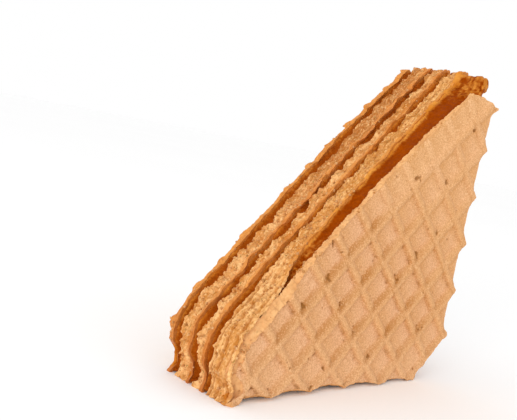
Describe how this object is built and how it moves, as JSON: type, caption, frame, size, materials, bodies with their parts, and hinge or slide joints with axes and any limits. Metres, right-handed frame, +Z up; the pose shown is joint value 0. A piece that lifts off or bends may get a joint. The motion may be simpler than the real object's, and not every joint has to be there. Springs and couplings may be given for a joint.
{
  "type": "cream-filled wafer",
  "caption": "Half of a layered wafer block cut corner to corner: ribbed wafer sheets with thick caramel cream between them, standing on its lower edge.",
  "frame": {"origin": "under the middle of the bounding box, on the plane that the lower edge stands on", "axes": "+X along the lower edge towards the tall end, +Y through the layers from the face sheet to the back sheet, +Z up"},
  "size_m": [0.061, 0.026, 0.0647],
  "materials": {
    "wafer": "matte, dry baked wafer with fine pores",
    "caramel": "soft glossy caramel"
  },
  "bodies": {
    "root": {"wafer_sheet_1": "wafer", "caramel_1": "caramel", "wafer_sheet_2": "wafer", "caramel_2": "caramel", "wafer_sheet_3": "wafer", "caramel_3": "caramel", "wafer_sheet_4": "wafer", "caramel_4": "caramel", "wafer_sheet_5": "wafer"}
  },
  "joints": []
}
